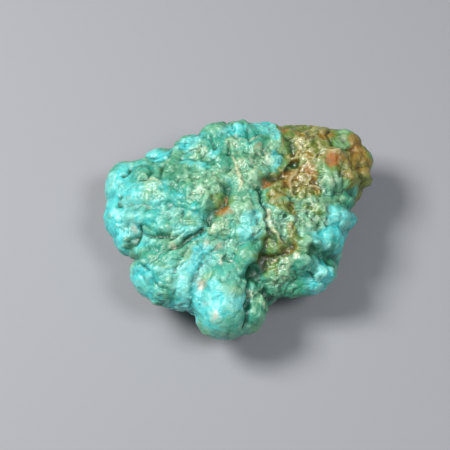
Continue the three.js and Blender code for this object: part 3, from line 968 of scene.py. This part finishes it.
def tile_map(cells):
    """For each cell's four corners, their place on the map: the grid steps as shares of the tile, less
    a margin, plus the tile's own column and row."""
    steps = (np.arange(cells + 1) / cells) * (1 - 2 * TILE_MARGIN) + TILE_MARGIN
    u, v = np.meshgrid(steps, steps, indexing="ij")
    tiles = []
    for face in range(6):
        place = np.stack([(u + face % 3) / 3, (v + face // 3) / 2], axis=-1)
        corners = [place[:-1, :-1], place[1:, :-1], place[1:, 1:], place[:-1, 1:]]
        tiles.append(np.stack(corners, axis=2).reshape(-1, 2))
    return np.concatenate(tiles)


def make_mesh(name, points, quads):
    """A mesh filled straight from arrays: points, cell corners, smooth shading and the texture map."""
    mesh = bpy.data.meshes.new(name)
    mesh.vertices.add(len(points))
    mesh.vertices.foreach_set("co", points.astype(np.float32).ravel())
    mesh.loops.add(quads.size)
    mesh.loops.foreach_set("vertex_index", quads.astype(np.int32).ravel())
    mesh.polygons.add(len(quads))
    mesh.polygons.foreach_set("loop_start", np.arange(0, quads.size, 4, dtype=np.int32))
    mesh.update(calc_edges=True)
    mesh.polygons.foreach_set("use_smooth", np.ones(len(quads), dtype=bool))
    layer = mesh.uv_layers.new(name="OFBake")
    layer.data.foreach_set("uv", tile_map(CELLS).astype(np.float32).ravel())
    return mesh


nugget_mesh = make_mesh("nugget", stone_metres, quads)
for name, values in measures.items():
    attribute = nugget_mesh.attributes.new(name, "FLOAT", "POINT")
    attribute.data.foreach_set("value", values.astype(np.float32))
nugget = bpy.data.objects.new("turquoise_nugget", nugget_mesh)
bpy.context.scene.collection.objects.link(nugget)
print(len(nugget_mesh.vertices), "points,", 2 * len(nugget_mesh.polygons), "triangles")

# %% [markdown]
# ## Colours of the stone
# Real turquoise runs from sky blue through teal to green as iron takes copper's place. The rock it grew
# in is olive and ochre, with orange rust, and cream clay fills its cracks. Colours are picked as they
# look on a screen, and turned into the even numbers that light is worked out with.

# %% Colours


def srgb(red, green, blue):
    """A colour as seen on a screen, 0 to 255, as linear numbers: divided by 255, then a straight line
    near black and a power of 2.4 above it."""
    shares = np.array([red, green, blue]) / 255
    linear = np.where(shares <= 0.04045, shares / 12.92, ((shares + 0.055) / 1.055) ** 2.4)
    return (*linear, 1)


TEAL = srgb(44, 166, 146)
DEEP_TEAL = srgb(22, 136, 108)
SKY = srgb(66, 202, 206)
GREEN = srgb(76, 148, 104)
# deep green is the painted shade in the hollows, and also a darker tone in the mottle
DEEP_GREEN = srgb(8, 76, 54)
SAGE = srgb(128, 174, 134)
# mint is a paler tone of some nodules and of the mottle, and the painted highlight on crests
MINT = srgb(178, 220, 186)
PALE_GREEN = srgb(142, 180, 124)
DUSTY_GREEN = srgb(124, 172, 132)
BEIGE = srgb(178, 196, 162)
MOSS = srgb(94, 134, 58)
# dark moss is painted shade in the moss's hollows
DARK_MOSS = srgb(34, 58, 14)
OLIVE = srgb(110, 118, 28)
OCHRE = srgb(142, 106, 18)
PALE_ROCK = srgb(172, 168, 120)
# dark rock is painted shade in the rock's hollows
DARK_ROCK = srgb(58, 46, 10)
RUST_ORANGE = srgb(162, 92, 0)
CREAM = srgb(220, 208, 168)
CLAY = srgb(206, 194, 176)
print("teal in linear numbers:", np.round(TEAL[:3], 3))

# %% [markdown]
# ## A helper for glazes
# The colour is built up as a potter glazes: each colour is laid over the last by a share, which comes
# from the numbers on the mesh and from clouds of noise. The helper adds the shader's nodes and joins
# them, so that each glaze is one line.

# %% Glaze helper


class Glazes:
    """Adds shader nodes to one material, and keeps its clouds of noise."""

    def __init__(self, material):
        material.use_nodes = True
        self.nodes = material.node_tree.nodes
        self.links = material.node_tree.links
        self.shader = self.nodes["Principled BSDF"]
        self.place = self.nodes.new("ShaderNodeTexCoord").outputs["Object"]
        self.cloud = self.noise(0.0060, 3, 0.0)
        self.patch = self.noise(0.0034, 3, 0.31)
        self.mottle = self.noise(0.0013, 3, 0.11)
        self.grain = self.noise(0.0004, 2, 0.23)

    def measure(self, name):
        """The value that the mesh holds under a name."""
        node = self.nodes.new("ShaderNodeAttribute")
        node.attribute_name = name
        return node.outputs["Fac"]

    def noise(self, size, detail, seed_shift):
        """Cloudy noise with swells of about the given size in metres."""
        shift = self.nodes.new("ShaderNodeVectorMath")
        shift.operation = "ADD"
        shift.inputs[1].default_value = (seed_shift, 2 * seed_shift, -seed_shift)
        self.links.new(self.place, shift.inputs[0])
        node = self.nodes.new("ShaderNodeTexNoise")
        node.inputs["Scale"].default_value = 1 / size
        node.inputs["Detail"].default_value = detail
        self.links.new(shift.outputs[0], node.inputs["Vector"])
        return node.outputs["Fac"]

    def between(self, value, start, end, to_start=0.0, to_end=1.0):
        """A value rescaled so that start and end become to_start and to_end, with no overshoot."""
        node = self.nodes.new("ShaderNodeMapRange")
        node.interpolation_type = "SMOOTHSTEP"
        for socket, number in zip(node.inputs[1:5], (start, end, to_start, to_end)):
            socket.default_value = number
        self.links.new(value, node.inputs[0])
        return node.outputs[0]

    def math(self, operation, first, second=0.0):
        """One arithmetic step on a value and a value or number."""
        node = self.nodes.new("ShaderNodeMath")
        node.operation = operation
        self.links.new(first, node.inputs[0])
        if isinstance(second, (int, float)):
            node.inputs[1].default_value = second
        else:
            self.links.new(second, node.inputs[1])
        return node.outputs[0]

    def plus(self, first, second):
        """The sum of two values."""
        return self.math("ADD", first, second)

    def times(self, first, second):
        """The product of two values."""
        return self.math("MULTIPLY", first, second)

    def mix(self, share, below, above):
        """Colour above laid over colour below by share."""
        node = self.nodes.new("ShaderNodeMix")
        node.data_type = "RGBA"
        self.links.new(share, node.inputs["Factor"])
        for socket, color in ((node.inputs[6], below), (node.inputs[7], above)):
            if isinstance(color, tuple):
                socket.default_value = color
            else:
                self.links.new(color, socket)
        return node.outputs[2]


turquoise = bpy.data.materials.new("turquoise")
glaze = Glazes(turquoise)
print("clouds of 6, 3.4, 1.3 and 0.4 mm")

# %% [markdown]
# ## The turquoise itself
# Teal and green clouds come first, then sky blue on the outer nodules and sea green between them,
# which is partly the stone's own tone and partly painted shade. Each large nodule is a little paler or
# darker than its neighbours, because it grew as a body of its own.

# %% Turquoise glazes


def turquoise_glazes(glaze):
    """Clouds of teal, green and sage, then blue, sea green that is partly painted shade, and mint over
    them by the mesh's numbers.
    """
    color = glaze.mix(glaze.between(glaze.cloud, 0.38, 0.62), TEAL, GREEN)
    color = glaze.mix(glaze.between(glaze.patch, 0.50, 0.70, 0.0, 0.5), color, SAGE)
    sky = glaze.plus(glaze.measure("sky"), glaze.between(glaze.patch, 0.35, 0.65, 0.2, -0.2))
    color = glaze.mix(glaze.between(sky, 0.05, 0.9, 0.0, 0.9), color, SKY)
    color = glaze.mix(glaze.between(glaze.measure("nodule"), 0.2, 1.0, 0.0, 0.25), color, MINT)
    # sea green, partly the stone's own tone and partly painted shade
    sea_and_shade = glaze.plus(glaze.measure("sea_and_shade"), glaze.between(glaze.mottle, 0.35, 0.65, 0.2, -0.2))
    color = glaze.mix(glaze.between(sea_and_shade, 0.1, 0.9, 0.0, 0.75), color, DEEP_TEAL)
    return glaze.mix(glaze.between(glaze.mottle, 0.46, 0.28, 0.0, 0.22), color, MINT)


color = turquoise_glazes(glaze)
print("turquoise glazed:", len(glaze.nodes), "nodes so far")

# %% [markdown]
# ## Wrinkled ground, crests and hollows
# A broken face shows the paler, dustier inside of the shell, and each face a different one. Crests are
# painted mint as a painted highlight, and hollows deep green as painted shade.

# %% Glazes that follow the form


def form_glazes(glaze, color):
    """Pale nodules, faces from dusty green to beige where wrinkled, a painted highlight of mint on the
    crests, and painted shade of deep green in the hollows.
    """
    color = glaze.mix(glaze.times(glaze.measure("pale"), 0.7), color, PALE_GREEN)
    toned = glaze.plus(glaze.measure("face"), glaze.between(glaze.mottle, 0.3, 0.7, -0.35, 0.35))
    wrinkles = glaze.mix(glaze.between(toned, 0.2, 0.9), DUSTY_GREEN, BEIGE)
    wrinkles = glaze.mix(glaze.between(glaze.patch, 0.50, 0.60, 0.0, 0.5), wrinkles, GREEN)
    edge = glaze.between(glaze.patch, 0.35, 0.65, -0.2, 0.2)
    wrinkled_share = glaze.plus(glaze.measure("wrinkled"), edge)
    color = glaze.mix(glaze.between(wrinkled_share, 0.25, 0.95, 0.0, 0.75), color, wrinkles)
    # painted highlight: the crests are painted mint
    crest_highlight = glaze.times(glaze.measure("crest_highlight"), glaze.between(glaze.mottle, 0.35, 0.65, 0.1, 0.5))
    color = glaze.mix(crest_highlight, color, MINT)
    # painted shade: the hollows are painted deep green
    hollow_shade = glaze.times(glaze.measure("hollow_shade"), glaze.between(glaze.cloud, 0.3, 0.6, 0.7, 1.0))
    return glaze.mix(hollow_shade, color, DEEP_GREEN)


color = form_glazes(glaze, color)
print("form glazed:", len(glaze.nodes), "nodes so far")

# %% [markdown]
# ## Host rock and moss
# The rock is olive and ochre in clouds, painted dark in its hollows as painted shade, with pale
# crystal faces that are partly painted highlight on its crests. Where it thins out at its edge, only a
# mossy green film is left on the turquoise, so the moss goes on before the rock.

# %% Rock glazes


def rock_glazes(glaze, color):
    """A moss film where there is a little host rock, and the rock's own colour where there is more."""
    rock = glaze.mix(glaze.between(glaze.patch, 0.44, 0.64), OLIVE, OCHRE)
    pale_face = glaze.between(glaze.measure("face"), 0.4, 0.9, 0.0, 0.4)
    # pale crystal: on some broken faces as the rock's paler faces, and on crests as painted highlight
    crystal = glaze.between(glaze.plus(glaze.measure("crest_highlight"), pale_face), 0.1, 0.7, 0.0, 0.9)
    rock = glaze.mix(glaze.times(glaze.measure("wrinkled"), crystal), rock, PALE_ROCK)
    # painted shade: the rock and the moss are painted darker in the hollows
    shade = glaze.times(glaze.measure("hollow_shade"), 0.9)
    rock = glaze.mix(shade, rock, DARK_ROCK)
    moss = glaze.mix(shade, MOSS, DARK_MOSS)
    host_share = glaze.plus(glaze.measure("host"), glaze.between(glaze.patch, 0.3, 0.7, -0.15, 0.15))
    color = glaze.mix(glaze.between(host_share, 0.05, 0.50, 0.0, 0.85), color, moss)
    return glaze.mix(glaze.between(host_share, 0.35, 0.95, 0.0, 0.95), color, rock)


color = rock_glazes(glaze, color)
print("rock glazed:", len(glaze.nodes), "nodes so far")

# %% [markdown]
# ## Rust, clay and threads
# The last marks are small: rust spots, specks of pale clay, the cream of the veins, and cream threads
# on wrinkled ground. A thread runs where a cloud passes its middle value, as a shore line winds round
# hills.

# %% Marks
THREAD_WIDTH = (0.002, 0.012)


def mark_glazes(glaze, color):
    """Rust, clay, threads where the cloud less a half is near nothing, veins, then a dark mottle."""
    rust = glaze.times(glaze.measure("rust"), glaze.between(glaze.mottle, 0.35, 0.6, 0.7, 1.0))
    color = glaze.mix(rust, color, RUST_ORANGE)
    speck = glaze.times(glaze.measure("speck"), glaze.between(glaze.mottle, 0.35, 0.6, 1.0, 0.3))
    color = glaze.mix(speck, color, CLAY)
    off_middle = glaze.math("ABSOLUTE", glaze.math("SUBTRACT", glaze.patch, 0.5))
    thread = glaze.between(off_middle, *THREAD_WIDTH, 0.6, 0.0)
    color = glaze.mix(glaze.times(thread, glaze.measure("wrinkled")), color, CREAM)
    color = glaze.mix(glaze.times(glaze.measure("vein"), 0.5), color, CREAM)
    color = glaze.mix(glaze.between(glaze.mottle, 0.50, 0.72, 0.0, 0.35), color, DEEP_GREEN)
    return glaze.mix(glaze.between(glaze.grain, 0.3, 0.7, 0.0, 0.12), color, DEEP_GREEN)


color = mark_glazes(glaze, color)
glaze.links.new(color, glaze.shader.inputs["Base Color"])
print("marked:", len(glaze.nodes), "nodes so far")

# %% [markdown]
# ## Gloss and grain
# Turquoise is waxy, broken faces are glassier, and rust is dull, so the roughness follows the same
# numbers. A thin coat gives the small sharp glints of a handled stone. Only grain finer than the mesh
# is left to bump, which tilts the light and moves nothing.

# %% Gloss and grain
WAXY = (0.38, 0.50)
GLASSY_FACES = 0.16
DULL_RUST = 0.3
COAT = 0.08
COAT_ROUGHNESS = 0.18
TURQUOISE_IOR = 1.6
GRAIN_DEPTH = 0.00025
GRAIN_STRENGTH = 0.7


def gloss(glaze):
    """Roughness is the waxy one, less a share where wrinkled, plus a share on rust."""
    waxy = glaze.between(glaze.grain, 0.3, 0.7, *WAXY)
    glassy = glaze.times(glaze.measure("wrinkled"), GLASSY_FACES)
    dull = glaze.times(glaze.measure("rust"), DULL_RUST)
    rough = glaze.plus(glaze.math("SUBTRACT", waxy, glassy), dull)
    glaze.links.new(rough, glaze.shader.inputs["Roughness"])
    glaze.shader.inputs["Coat Weight"].default_value = COAT
    glaze.shader.inputs["Coat Roughness"].default_value = COAT_ROUGHNESS
    glaze.shader.inputs["IOR"].default_value = TURQUOISE_IOR


def grain(glaze):
    """A bump whose height is fine noise plus half the grain."""
    bump = glaze.nodes.new("ShaderNodeBump")
    bump.inputs["Distance"].default_value = GRAIN_DEPTH
    bump.inputs["Strength"].default_value = GRAIN_STRENGTH
    bumps = glaze.plus(glaze.times(glaze.grain, 0.5), glaze.noise(0.0007, 2, 0.47))
    glaze.links.new(bumps, bump.inputs["Height"])
    glaze.links.new(bump.outputs["Normal"], glaze.shader.inputs["Normal"])


gloss(glaze)
grain(glaze)
nugget_mesh.materials.append(turquoise)
print("material with", len(glaze.nodes), "nodes")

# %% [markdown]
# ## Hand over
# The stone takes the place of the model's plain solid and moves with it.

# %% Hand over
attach(nugget, "root")
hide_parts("nugget")
